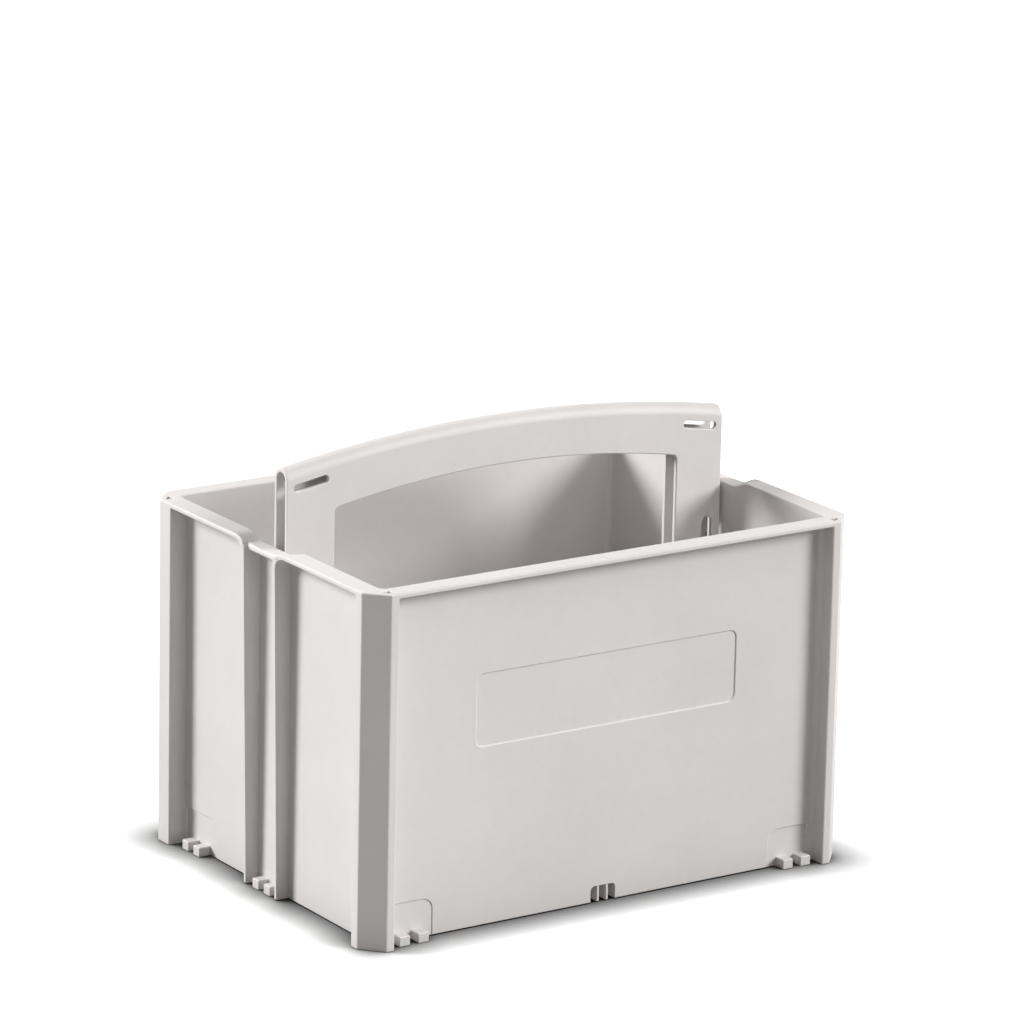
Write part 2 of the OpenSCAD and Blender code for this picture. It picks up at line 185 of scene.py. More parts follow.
class CaddyHandleSettings(bpy.types.PropertyGroup):
    size_l: length("Length", "Length of the handle", span("handle", 0))
    size_t: length("Thickness", "Thickness of the handle across its two plates", span("handle", 1))
    top_z: length("Top", "Height of the raised handle's middle above the floor", top("handle"))
    foot_z: length("Foot", "Height of the raised legs' lower ends above the floor", foot("handle"))
    plate: length("Plate", "Thickness of each plate", 3)
    leg: length("Leg", "Length of each leg along the tub", 38.5)
    arch_r: length("Arch", "Radius of the handle's arched top", 1020)
    under_r: length("Under arch", "Radius of the arch's lower edge", 756)
    grip_h: length("Grip height", "Height of the grip at its middle", 34)
    window_r: length("Window corner", "Radius of the two corners under the grip", 4)
    slot_l: length("Slot length", "Length of the slots near the handle's ends", 28)
    slot_h: length("Slot height", "Height of the slots near the handle's ends", 5.4)
    slot_drop: length("Slot drop", "Distance from the handle's top down to the slots' middle", 14.6)
    web: length("Web", "Thickness of the webs between the two plates", 2.4)
    web_h: length("Web height", "Height of the webs under the grip", 15)
    webs: IntProperty(name="Webs", description="Number of webs under the grip", default=7, min=1)
    travel_slot: length("Travel slot", "Width of the upright slots in the legs", 8.7)
    edge_r: length("Edge round", "Radius on the edges of the windows and legs", 1.1)
    end_r: length("End round", "Radius on the handle's two ends", 0.5)


class CaddySlidingSettings(bpy.types.PropertyGroup):
    guide_gap: length("Guide gap", "Gap between a leg and each guide rail", 0.5)
    pin_d: length("Pin", "Diameter of a stop pin", 8)
    pin_z: length("Pin height", "Height of the stop pins above the floor", 150)
    pin_in: length("Pin distance", "Distance from the end wall to a stop pin's axis", 13)
    shoe_plug: length("Plug", "Height of a shoe's plug inside the foot of a leg", 14)
    shoe_sole: length("Sole", "Thickness of a shoe's sole below a leg", 4)
    shoe_inset: length("Inset", "How far a shoe stays back from the leg's edges", 3)


class CaddyFinishSettings(bpy.types.PropertyGroup):
    shell: colour("Shell", "Moulded plastic of the tub and the handle", "#d4d0ce")
    # Paler colour along the edges: partly rubbing wear, partly a painted highlight where the rounded edges
    # catch the light.
    shell_edge_wear_and_highlight: colour("Shell edges", "Plastic along the rubbed edges", "#e6e3e0")
    shoe: colour("Shoe", "Moulded acetal of the sliding shoes", "#474a4f")
    pin: colour("Pin", "Glass-filled nylon of the stop pins", "#6b6e73")
    ground: colour("Floor", "Floor of the stage", "#ffffff")


class CaddyStageSettings(bpy.types.PropertyGroup):
    azimuth: angle("Azimuth", "Camera's turn round the caddy", -33.70)
    elevation: angle("Elevation", "Camera's angle above the horizon", 15.61)
    roll: angle("Roll", "Camera's turn about its own line of sight", 1.19)
    distance: length("Distance", "Distance from the camera to its target", 4178)
    focal: FloatProperty(
        name="Lens",
        description="Focal length in mm",
        default=210.9375,
        unit="CAMERA",
        subtype="DISTANCE_CAMERA",
    )
    target: FloatVectorProperty(
        name="Target",
        description="Point the camera looks at",
        default=(0.00805, -0.0005, 0.2446),
        size=3,
        unit="LENGTH",
        subtype="XYZ",
    )
    fill: strength("Fill", "Strength of the even light from all round", 0.15)
    paper_glow: strength("Paper glow", "How brightly the paper floor glows to the camera", 0.34)
    shadow_reach: length("Shadow reach", "How far the contact shadow reaches out from the caddy", 41)
    key: strength("Left light", "Strength of the soft light on the left", 1.32)
    front: strength("Front light", "Strength of the soft light in front", 0.93)
    overhead: strength("Top light", "Strength of the soft light above", 0.20)


def in_mm(settings):
    """The lengths of a group of settings in millimetres, and its other values as they are."""
    values = {}
    for prop in settings.bl_rna.properties:
        if prop.type in {"FLOAT", "INT"} and not prop.is_readonly:
            value = getattr(settings, prop.identifier)
            values[prop.identifier] = value / MM if prop.unit == "LENGTH" else value
    return SimpleNamespace(**values)


def all_sizes():
    """Every size of the tub, handle and sliding parts, with the ones that follow from them."""
    scene = bpy.context.scene
    tub = in_mm(scene.caddy_tub)
    tub.detail = in_mm(scene.caddy_detail)
    handle = in_mm(scene.caddy_handle)
    slide = in_mm(scene.caddy_sliding)
    tub.half_l = tub.size_l / 2
    tub.half_w = tub.size_w / 2
    tub.panel_x = tub.half_l - tub.end_recess
    tub.panel_y = tub.half_w - tub.long_recess
    tub.inner_x = tub.panel_x - tub.wall
    tub.inner_y = tub.panel_y - tub.wall
    tub.bottom_top = tub.bottom_lift + tub.bottom_t
    tub.rim_under = tub.size_h - tub.rim_t
    tub.post_x = tub.half_l - tub.chamfer_l - tub.strip_long
    handle.half_l = handle.size_l / 2
    handle.half_t = handle.size_t / 2
    handle.plate_in = handle.half_t - handle.plate
    handle.window_x = handle.half_l - handle.leg
    slide.pin_x = tub.inner_x - slide.pin_in
    slide.rail_y = handle.half_t + slide.guide_gap
    slide.boss_out = slide.rail_y + tub.detail.rail_t + tub.detail.boss_l
    return tub, handle, slide


# ---------------- solids from outlines


def arc(x, y, radius, start, end, steps):
    """Points round a centre, from one angle to another."""
    turns = [start + (end - start) * k / steps for k in range(steps + 1)]
    return [(x + radius * math.cos(t), y + radius * math.sin(t)) for t in turns]


def fillet(points, radii):
    """Closed outline through the points, with each corner rounded to its radius."""
    outline = []
    count = len(points)
    radii = radii if isinstance(radii, (list, tuple)) else [radii] * count
    for i, radius in enumerate(radii):
        here = Vector(points[i])
        if radius <= 0:
            outline.append(tuple(here))
            continue
        back = (Vector(points[i - 1]) - here).normalized()
        on = (Vector(points[(i + 1) % count]) - here).normalized()
        half = back.angle(on) / 2
        centre = here + (back + on).normalized() * (radius / math.sin(half))
        spoke = here + back * (radius / math.tan(half)) - centre
        turn = math.pi - 2 * half
        if back.x * on.y - back.y * on.x > 0:
            turn = -turn
        for k in range(ARC_STEPS + 1):
            c, s = math.cos(turn * k / ARC_STEPS), math.sin(turn * k / ARC_STEPS)
            outline.append((centre.x + spoke.x * c - spoke.y * s, centre.y + spoke.x * s + spoke.y * c))
    return outline


def inset(outline, distance):
    """The counter-clockwise outline moved inwards along its mitres."""
    moved = []
    for i, (x, y) in enumerate(outline):
        before = Vector((x - outline[i - 1][0], y - outline[i - 1][1])).normalized()
        following = outline[(i + 1) % len(outline)]
        after = Vector((following[0] - x, following[1] - y)).normalized()
        normals = Vector((-before.y - after.y, before.x + after.x))
        mitre = normals / max(1 + before.dot(after), 0.2)  # held back where the outline turns sharply
        moved.append((x + mitre.x * distance, y + mitre.y * distance))
    return moved


def counter_clockwise(outline):
    area = sum(a[0] * b[1] - b[0] * a[1] for a, b in zip(outline, outline[1:] + outline[:1]))
    return outline if area > 0 else outline[::-1]


def quarter(radius):
    """Pairs (1 - sin, 1 - cos) of a quarter turn, times the radius."""
    turns = [math.pi / 2 * k / ARC_STEPS for k in range(ARC_STEPS + 1)]
    return [(radius * (1 - math.sin(t)), radius * (1 - math.cos(t))) for t in turns]


def levels(low, high, r_low=0.0, r_high=0.0, between=()):
    """Levels of a prism and its inset at each. A positive radius rounds its end, a negative one flares it."""
    rise = [(low + abs(up), across) for across, up in quarter(r_low)] if r_low else [(low, 0.0)]
    fall = [(high - abs(up), across) for across, up in quarter(r_high)] if r_high else [(high, 0.0)]
    if r_low < 0:
        rise.insert(0, (low - CUT, r_low))
    if r_high < 0:
        fall.insert(0, (high + CUT, r_high))
    return rise + [(level, 0.0) for level in between] + fall[::-1]


def skin(rings, name="solid"):
    """A closed solid through rings of equally many points, given in millimetres."""
    bm = bmesh.new()
    loops = [[bm.verts.new([c * MM for c in point]) for point in ring] for ring in rings]
    bm.faces.new(loops[0][::-1])
    bm.faces.new(loops[-1])
    for low, high in zip(loops, loops[1:]):
        for i in range(len(low)):
            j = (i + 1) % len(low)
            bm.faces.new((low[i], low[j], high[j], high[i]))
    bmesh.ops.recalc_face_normals(bm, faces=bm.faces)
    if bm.calc_volume(signed=True) < 0:
        bmesh.ops.reverse_faces(bm, faces=bm.faces)
    mesh = bpy.data.meshes.new(name)
    bm.to_mesh(mesh)
    bm.free()
    return link(mesh, name)


def triangulated(solid, shortest=0.0):
    """Closes edges shorter than this, in mm, and splits every face, so that no bent one is left to a cut."""
    bm = bmesh.new()
    bm.from_mesh(solid.data)
    if shortest:
        bmesh.ops.dissolve_degenerate(bm, edges=bm.edges, dist=shortest * MM)
    bmesh.ops.triangulate(bm, faces=bm.faces)
    bm.to_mesh(solid.data)
    bm.free()
    return solid


def link(mesh, name):
    made = bpy.data.objects.new(name, mesh)
    bpy.context.scene.collection.objects.link(made)
    return made


TURNED = {
    "X": lambda u, v, w: (w, u, v),
    "Y": lambda u, v, w: (u, w, v),
    "Z": lambda u, v, w: (u, v, w),
}


def prism(outline, low, high, r_low=0.0, r_high=0.0, axis="Z", between=()):
    """A prism along an axis, from an outline in the other two, with its two ends rounded or flared."""
    outline = counter_clockwise(outline)
    place = TURNED[axis]
    rings = [
        [place(u, v, level) for u, v in inset(outline, across)]
        for level, across in levels(low, high, r_low, r_high, between)
    ]
    return skin(rings)


def rectangle(x0, y0, x1, y1, r=0.0):
    return fillet([(x0, y0), (x1, y0), (x1, y1), (x0, y1)], r)


def circle(x, y, radius, steps=12):
    return arc(x, y, radius, 0, math.tau, 4 * steps)[:-1]


def stadium(x, y, run, high, lean):
    """Slot outline with round ends, turned about its middle."""
    r = high / 2
    half = run / 2 - r
    c, s = math.cos(lean), math.sin(lean)
    outline = arc(half, 0, r, -math.pi / 2, math.pi / 2, 4 * ARC_STEPS)
    outline += arc(-half, 0, r, math.pi / 2, 3 * math.pi / 2, 4 * ARC_STEPS)
    return [(x + u * c - v * s, y + u * s + v * c) for u, v in outline]


def copied(solid, x=1, y=1):
    """A copy of a solid, mirrored where x or y is -1, with its faces pointing outwards again."""
    bm = bmesh.new()
    bm.from_mesh(solid.data)
    for vert in bm.verts:
        vert.co.x *= x
        vert.co.y *= y
    if x * y < 0:
        bmesh.ops.reverse_faces(bm, faces=bm.faces)
    mesh = bpy.data.meshes.new(solid.name)
    bm.to_mesh(mesh)
    bm.free()
    return link(mesh, solid.name)


def both_ends(solid):
    return [solid, copied(solid, x=-1)]


def front_and_back(solid):
    return [solid, copied(solid, y=-1)]


def four_corners(solid):
    return [solid, copied(solid, x=-1), copied(solid, y=-1), copied(solid, x=-1, y=-1)]


def discard(solid):
    mesh = solid.data
    bpy.data.objects.remove(solid)
    if mesh.users == 0:
        bpy.data.meshes.remove(mesh)


def settle(solid):
    """Turns an object with its modifiers into a plain mesh."""
    depsgraph = bpy.context.evaluated_depsgraph_get()
    mesh = bpy.data.meshes.new_from_object(solid.evaluated_get(depsgraph), depsgraph=depsgraph)
    old = solid.data
    solid.modifiers.clear()
    solid.data = mesh
    bpy.data.meshes.remove(old)
    return solid


def combine(base, solids, operation):
    """Unites the solids with the base, or cuts them from it, and removes them."""
    triangulated(base)
    for solid in solids:
        triangulated(solid)
        step = base.modifiers.new(operation, "BOOLEAN")
        step.solver = "MANIFOLD"
        step.operation = operation
        step.object = solid
    triangulated(settle(base))
    if not base.data.polygons:
        raise RuntimeError(f"{base.name}: nothing was left by the {operation.lower()}")
    for solid in solids:
        discard(solid)
    return base


# ---------------- node trees


MATHS = "ShaderNodeMath"
RANGE = "ShaderNodeMapRange"  # inputs in order: value, from low, from high, to low, to high
NOISE = "ShaderNodeTexNoise"


def add(tree, kind, inputs=(), **settings):
    """Adds a node with its settings. Its inputs stand in order, or by name or number.

    Each takes a value, another node's output, or another node, which stands for its first output.
    """
    node = tree.nodes.new(kind)
    for key, value in settings.items():
        setattr(node, key, value)
    for key, value in inputs.items() if isinstance(inputs, dict) else enumerate(inputs):
        if isinstance(value, bpy.types.Node):
            value = value.outputs[0]
        if isinstance(value, bpy.types.NodeSocket):
            tree.links.new(value, node.inputs[key])
        else:
            node.inputs[key].default_value = value
    return node


def shape_tree(name):
    """A rule as a Geometry Nodes tree with named inputs, built when it is first asked for."""
    if name in bpy.data.node_groups:
        return bpy.data.node_groups[name]
    inputs, rule = RULES[name]
    tree = bpy.data.node_groups.new(name, "GeometryNodeTree")
    for title, kind in {"Geometry": "NodeSocketGeometry", **inputs, "Material": "NodeSocketMaterial"}.items():
        tree.interface.new_socket(title, in_out="INPUT", socket_type=kind)
    tree.interface.new_socket("Geometry", in_out="OUTPUT", socket_type="NodeSocketGeometry")
    given = add(tree, "NodeGroupInput").outputs
    real = add(tree, "GeometryNodeRealizeInstances", {"Geometry": rule(tree, given)})
    coated = add(tree, "GeometryNodeSetMaterial", {"Geometry": real, "Material": given["Material"]})
    add(tree, "NodeGroupOutput", {"Geometry": coated})
    return tree


def shaped_by(name, solid, material, values):
    """Runs a rule on a solid with these values for its inputs, and keeps the result as a plain mesh."""
    tree = shape_tree(name)
    step = solid.modifiers.new(name, "NODES")
    step.node_group = tree
    sockets = {s.name: s.identifier for s in tree.interface.items_tree if s.in_out == "INPUT"}
    for title, value in {**values, "Material": material}.items():
        step[sockets[title]] = value
    return settle(solid)


def dip_rule(tree, given):
    """Lowers what lies above a level, round the middle of each end.

    The inner edge dips in half a cosine wave. The outer edge bows over and drops down to the ribs.
    """
    place = add(tree, "GeometryNodeInputPosition")
    axes = add(tree, "ShaderNodeSeparateXYZ", [place]).outputs
    off_middle = add(tree, MATHS, [axes["Y"]], operation="ABSOLUTE")
    past_flat = add(tree, MATHS, [off_middle, given["Flat"]], operation="SUBTRACT")
    across = add(tree, MATHS, [axes["X"]], operation="ABSOLUTE")
    width = [across, given["Inner X"], given["Outer X"]]
    slope = add(tree, RANGE, [*width, given["Slope"], given["Outer slope"]])
    steps = add(tree, MATHS, [past_flat, slope], operation="DIVIDE")
    run = add(tree, "ShaderNodeClamp", [steps])
    turn = add(tree, MATHS, [run, math.pi], operation="MULTIPLY")
    cosine = add(tree, MATHS, [turn], operation="COSINE")
    wave = add(tree, MATHS, [cosine, 0.5, 0.5], operation="MULTIPLY_ADD")
    back = add(tree, MATHS, [1.0, run], operation="SUBTRACT")
    opposite = add(tree, MATHS, [back, -1.0], operation="MULTIPLY")
    square = add(tree, MATHS, [back, opposite, 1.0], operation="MULTIPLY_ADD")
    height = add(tree, MATHS, [square], operation="SQRT")
    bow = add(tree, MATHS, [1.0, height], operation="SUBTRACT")
    share = add(tree, RANGE, [*width, wave, bow])
    lowest = add(tree, MATHS, [given["Depth"], -1.0], operation="MULTIPLY")
    drop = add(tree, MATHS, [share, lowest], operation="MULTIPLY")
    move = add(tree, "ShaderNodeCombineXYZ", {"Z": drop})
    above = add(tree, "FunctionNodeCompare", [axes["Z"], given["Above"]], operation="GREATER_THAN")
    placed = {"Geometry": given["Geometry"], "Selection": above, "Offset": move}
    return add(tree, "GeometryNodeSetPosition", placed)


def arch_rule(tree, given):
    """Drops each point by as much as a circle of the given radius has fallen there."""
    place = add(tree, "GeometryNodeInputPosition")
    along = add(tree, "ShaderNodeSeparateXYZ", [place]).outputs["X"]
    radius = given["Radius"]
    whole = add(tree, MATHS, [radius, radius], operation="MULTIPLY")
    part = add(tree, MATHS, [along, along], operation="MULTIPLY")
    inside = add(tree, MATHS, [whole, part], operation="SUBTRACT")
    height = add(tree, MATHS, [inside], operation="SQRT")
    drop = add(tree, MATHS, [height, radius], operation="SUBTRACT")
    move = add(tree, "ShaderNodeCombineXYZ", {"Z": drop})
    return add(tree, "GeometryNodeSetPosition", {"Geometry": given["Geometry"], "Offset": move})


def row_rule(tree, given):
    """Repeats the geometry in a straight row."""
    places = {"Count": given["Count"], "Start Location": given["First"], "Offset": given["Step"]}
    line = add(tree, "GeometryNodeMeshLine", places)
    return add(tree, "GeometryNodeInstanceOnPoints", {"Points": line, "Instance": given["Geometry"]})


SIZE, PLACE = "NodeSocketFloat", "NodeSocketVector"
DIP_SIZES = ("Depth", "Flat", "Slope", "Outer slope", "Inner X", "Outer X", "Above")
RULES = {
    "Rim dip": (dict.fromkeys(DIP_SIZES, SIZE), dip_rule),
    "Grip arch": ({"Radius": SIZE}, arch_rule),
    "Row": ({"Count": "NodeSocketInt", "First": PLACE, "Step": PLACE}, row_rule),
}


def arched(solid, handle, material):
    return shaped_by("Grip arch", solid, material, {"Radius": handle.arch_r * MM})


def in_a_row(solid, material, first, step, count):
    """count copies of a solid, from first on, a step apart; both in millimetres."""
    values = {"Count": count, "First": [c * MM for c in first], "Step": [c * MM for c in step]}
    return shaped_by("Row", solid, material, values)


# ---------------- materials


def new_material(name):
    material = bpy.data.materials.new(name)
    material.use_nodes = True
    material.node_tree.nodes.clear()
    return material, material.node_tree


def per_metre(size_mm):
    """Scale of a texture whose pattern repeats about every size_mm."""
    return 1 / (size_mm * MM)


def rgba(value):
    return (*value, 1.0)


def coat(tree, base, roughness, height, relief, depth, ior):
    """Ends a plastic's tree with its fine relief, whose depth is in mm, and its shader."""
    bump = add(tree, "ShaderNodeBump", {"Height": height, "Strength": relief, "Distance": depth * MM})
    plastic = {"Base Color": base, "Roughness": roughness, "Normal": bump, "IOR": ior}
    shader = add(tree, "ShaderNodeBsdfPrincipled", plastic)
    add(tree, "ShaderNodeOutputMaterial", {"Surface": shader})


def moulded_abs(name, grain_mm, roughness):
    """Injection-moulded ABS with a spark-eroded face.

    The eye gets a calm, slightly warm grey with a low satin gloss, a fine even grain that breaks up
    reflections, broad clouds of tone where the melt flowed, faint rubbing marks, and paler, smoother edges.
    The paler edge colour is partly rubbing wear and partly a painted highlight where rounded edges catch the
    light.
    """
    colours = bpy.context.scene.caddy_finish
    material, tree = new_material(name)
    place = add(tree, "ShaderNodeTexCoord").outputs["Object"]
    # Broad tone: flow of the melt, clouds of about 90 mm.
    flow = add(tree, NOISE, {"Vector": place, "Scale": per_metre(90), "Detail": 3.0, "Roughness": 0.5})
    # Small mottling of about 7 mm, as handling leaves it.
    mottle = add(tree, NOISE, {"Vector": place, "Scale": per_metre(7), "Detail": 4.0})
    # Grain: a spark-eroded face has pits of 0.1 to 0.2 mm; drawn coarser so that it shows in a picture.
    grain = add(tree, NOISE, {"Vector": place, "Scale": per_metre(grain_mm), "Detail": 2.0})
    # Rubbing marks: fine streaks, drawn 3 mm apart and 60 mm long.
    stretched = {"Vector": place, "Rotation": (0.4, 0.9, 0.3), "Scale": (1.0, 20.0, 20.0)}
    along = add(tree, "ShaderNodeMapping", stretched)
    streaks = add(tree, NOISE, {"Vector": along, "Scale": per_metre(60), "Detail": 6.0, "Roughness": 0.7})
    rubbed = add(tree, RANGE, [streaks, 0.60, 0.72, 0.0, 1.0])
    # Edges: short rays inside the wall leave it near an outer edge only. The paler colour mixed in there
    # is partly rubbing wear and partly a painted highlight on the rounded edges.
    rays = {"samples": 6, "inside": True, "only_local": True}
    inside = add(tree, "ShaderNodeAmbientOcclusion", {"Distance": 1.1 * MM}, **rays).outputs["AO"]
    edge = add(tree, RANGE, [inside, 0.92, 0.45, 0.0, 0.75])

    tone = add(tree, RANGE, [flow, 0.3, 0.7, 0.965, 1.03])
    spots = add(tree, RANGE, [mottle, 0.3, 0.7, 0.985, 1.012])
    shade = add(tree, MATHS, [tone, spots], operation="MULTIPLY")
    toned = add(tree, "ShaderNodeVectorMath", {0: colours.shell[:], "Scale": shade}, operation="SCALE")
    # Mixes in the paler edge colour: rubbing wear with a painted highlight.
    mixed = {0: edge, 6: toned, 7: rgba(colours.shell_edge_wear_and_highlight)}  # by number, since the names repeat
    base = add(tree, "ShaderNodeMix", mixed, data_type="RGBA").outputs[2]

    matt = add(tree, RANGE, [mottle, 0.3, 0.7, roughness - 0.03, roughness + 0.04])
    smoothed = add(tree, MATHS, [edge, -0.10, matt], operation="MULTIPLY_ADD")
    polished = add(tree, MATHS, [rubbed, -0.06, smoothed], operation="MULTIPLY_ADD")
    height = add(tree, MATHS, [rubbed, -0.25, grain], operation="MULTIPLY_ADD")
    coat(tree, base, polished, height, relief=0.22, depth=0.06, ior=1.53)
    return material


def filled_nylon():
    """Glass-filled nylon, injection-moulded: dull mid grey, with pale short fibres lying along the flow."""
    colours = bpy.context.scene.caddy_finish
    material, tree = new_material("glass-filled nylon, moulded")
    place = add(tree, "ShaderNodeTexCoord").outputs["Object"]
    # Fibres are 0.01 mm thick and 0.3 mm long; drawn as 0.5 mm by 3 mm streaks so that they show.
    along = add(tree, "ShaderNodeMapping", {"Vector": place, "Scale": (6.0, 1.0, 6.0)})
    fibre = add(tree, NOISE, {"Vector": along, "Scale": per_metre(3), "Detail": 3.0})
    cloud = add(tree, NOISE, {"Vector": place, "Scale": per_metre(12), "Detail": 2.0})
    shade = add(tree, RANGE, [fibre, 0.35, 0.7, 0.9, 1.18])
    base = add(tree, "ShaderNodeVectorMath", {0: colours.pin[:], "Scale": shade}, operation="SCALE")
    matt = add(tree, RANGE, [cloud, 0.3, 0.7, 0.55, 0.68])
    coat(tree, base, matt, fibre, relief=0.3, depth=0.05, ior=1.53)
    return material


def smooth_acetal():
    """Acetal, moulded in a polished tool: dark grey, waxy, smooth, with upright lines rubbed by the rails."""
    colours = bpy.context.scene.caddy_finish
    material, tree = new_material("acetal, moulded and polished")
    place = add(tree, "ShaderNodeTexCoord").outputs["Object"]
    # Rubbed lines, 0.8 mm apart. The texture's own waves stand 2 pi / 20 apart.
    waves = {"Vector": place, "Scale": per_metre(0.8) * math.tau / 20, "Distortion": 2.0, "Detail": 2.0}
    lines = add(tree, "ShaderNodeTexWave", waves, wave_type="BANDS", bands_direction="X").outputs[1]
    cloud = add(tree, NOISE, {"Vector": place, "Scale": per_metre(6), "Detail": 2.0})
    shade = add(tree, RANGE, [cloud, 0.3, 0.7, 0.95, 1.04])
    base = add(tree, "ShaderNodeVectorMath", {0: colours.shoe[:], "Scale": shade}, operation="SCALE")
    matt = add(tree, RANGE, [lines, 0.0, 1.0, 0.28, 0.36])
    coat(tree, base, matt, lines, relief=0.15, depth=0.02, ior=1.48)
    return material


# ---------------- tub


def rim_z(tub, y):
    """Height of the rim's top along its inner edge at an end, where it dips around the handle."""
    run = min(max((abs(y) - tub.dip_flat) / tub.dip_slope, 0), 1)
    return tub.size_h - tub.dip_depth * (1 + math.cos(math.pi * run)) / 2


def ring_plan(end, corner):
    """Outline with the same points along both ends, and four like corners."""
    half = end + corner + [(-a, b) for a, b in reversed(corner)]
    return half + [(-a, -b) for a, b in half]


def rim_corner(tub):
    """The rim's outline round its rear right-hand corner, along the post's chamfer and its two rounds."""
    x, y, r = tub.half_l, tub.half_w, tub.chamfer_r
    a, b = x - tub.chamfer_l, y - tub.chamfer_w
    return fillet([(x, -b), (x, b), (a, y), (-a, y)], [0, r, r, 0])[1:-1]


def stations_along_end(tub):
    """Places along an end at which the rim's outline has points: close together on the dip's slopes."""
    steps, step_in = 16, 1.0
    mid_rib = tub.rib_pitch / 2
    half = [mid_rib - step_in, mid_rib]
    half += [mid_rib + step_in + (tub.dip_slope - step_in) * i / steps for i in range(steps + 1)]
    return [-y for y in reversed(half)] + [0.0] + half


def tub_shell(tub, material):
    """Bottom, panels and rim in one skin, from the underside's middle round to the middle of the inside."""
    stations = stations_along_end(tub)
    outer, r = rim_corner(tub), tub.inner_r
    inner = arc(tub.inner_x - r, tub.inner_y - r, r, 0, math.pi / 2, len(outer) - 1)
    cavity = ring_plan([(tub.inner_x, y) for y in stations], inner)
    set_back = [tub.dip_inset if abs(y) < tub.rib_pitch / 2 else 0 for y in stations]
    lip = ring_plan([(tub.half_l - back, y) for back, y in zip(set_back, stations)], outer)
    # The rounds of the section, in order: the plan, how far out from it and how high the corner lies,
    # the radius, and the sides of the corner that the round lies on. Every second one is run upright first.
    rounds = (
        (cavity, 0, tub.bottom_lift, 1.0, -1, -1),
        (cavity, 0, tub.skirt, 0.7, 1, 1),
        (cavity, tub.wall, tub.skirt, 0.7, -1, 1),
        (cavity, tub.wall, tub.rim_under, 1.0, 1, -1),
        (lip, 0, tub.rim_under, 0.9, -1, 1),
        (lip, 0, tub.size_h, tub.rim_r, -1, -1),
        (cavity, 0, tub.size_h, 1.0, 1, -1),
        (cavity, 0, tub.bottom_top, tub.floor_r, -1, 1),
    )
    sections = []
    for i, (plan, out, height, radius, outwards, upwards) in enumerate(rounds):
        for first, second in quarter(radius):
            across, up = (second, first) if i % 2 else (first, second)
            ring = inset(plan, -(out + outwards * across))
            sections.append([(x, y, height + upwards * up) for x, y in ring])
    shell = skin(sections, name="caddy_tub")
    sizes = {
        "Depth": tub.dip_depth,
        "Flat": tub.dip_flat,
        "Slope": tub.dip_slope,
        "Outer slope": tub.dip_slope_out,
        "Inner X": tub.inner_x,
        "Outer X": tub.half_l,
        "Above": tub.size_h / 2,
    }
    return shaped_by("Rim dip", shell, material, {name: size * MM for name, size in sizes.items()})


def post_plan(tub, strip_end, inward):
    """A corner post seen from above, in the +X +Y corner; inward insets its three outer faces."""
    slope = math.hypot(tub.chamfer_w, tub.chamfer_l)
    normal_x, normal_y = tub.chamfer_w / slope, tub.chamfer_l / slope
    end_y = tub.half_w - tub.chamfer_w - strip_end
    into = 0.0 if inward > 1 else tub.wall / 2
    panel_x, panel_y = tub.panel_x - into, tub.panel_y - into
    return [
        (tub.post_x + inward, panel_y),
        (tub.post_x + inward, tub.half_w - inward),
        (tub.half_l - tub.chamfer_l - inward * (1 - normal_y) / normal_x, tub.half_w - inward),
        (tub.half_l - inward, tub.half_w - tub.chamfer_w - inward * (1 - normal_x) / normal_y),
        (tub.half_l - inward, end_y + inward),
        (panel_x, end_y + inward),
        (panel_x, panel_y),
    ]


def posts(tub):
    """Four posts with the rounds that blend them into the long panels, and the hollows inside them."""
    hair = 0.02  # keeps the posts' faces a hair behind the rim's
    corner, edge = tub.chamfer_r, 1.3
    solids, hollows = [], []
    x, y, r = tub.post_x, tub.panel_y, tub.blend_r
    blend = [(x + BITE, y - BITE), (x + BITE, y + r)]
    blend += arc(x - r, y + r, r, 0, -math.pi / 2, 2 * ARC_STEPS)
    blend.append((x - r, y - BITE))
    for strip, side in ((tub.strip_rear, 1), (tub.strip_front, -1)):
        outline = fillet(post_plan(tub, strip, hair), [0, edge, corner, corner, edge, 0, 0])
        post = prism(outline, 0, tub.rim_under + tub.rim_t / 2, r_low=0.7)
        hollow = prism(fillet(post_plan(tub, strip, tub.post_t), 0.8), 0, tub.rim_under, r_low=-0.5)
        corner_fill = prism(blend, tub.skirt, tub.rim_under + BITE)
        solids += both_ends(copied(post, y=side)) + both_ends(copied(corner_fill, y=side))
        hollows += both_ends(copied(hollow, y=side))
        for solid in (post, corner_fill, hollow):
            discard(solid)
    return solids, hollows


def post_openings(tub):
    """The small triangular openings in the rim over the posts."""
    size, under = tub.post_hole, tub.rim_under - BITE
    x, y = tub.half_l - tub.chamfer_l, -tub.half_w + tub.post_t
    front = [(x - size / 2, y), (x + size / 2, y + size * 0.8), (x - size / 2, y + size)]
    x, y = tub.half_l - tub.post_t, tub.half_w - tub.chamfer_w
    rear = [(x, y - size / 2), (x - size, y - size / 2), (x - size * 0.8, y + size / 2)]
    made = []
    for outline in (front, rear):
        made += both_ends(prism(fillet(outline, 0.7), under, tub.size_h, r_high=-0.35))
    return made


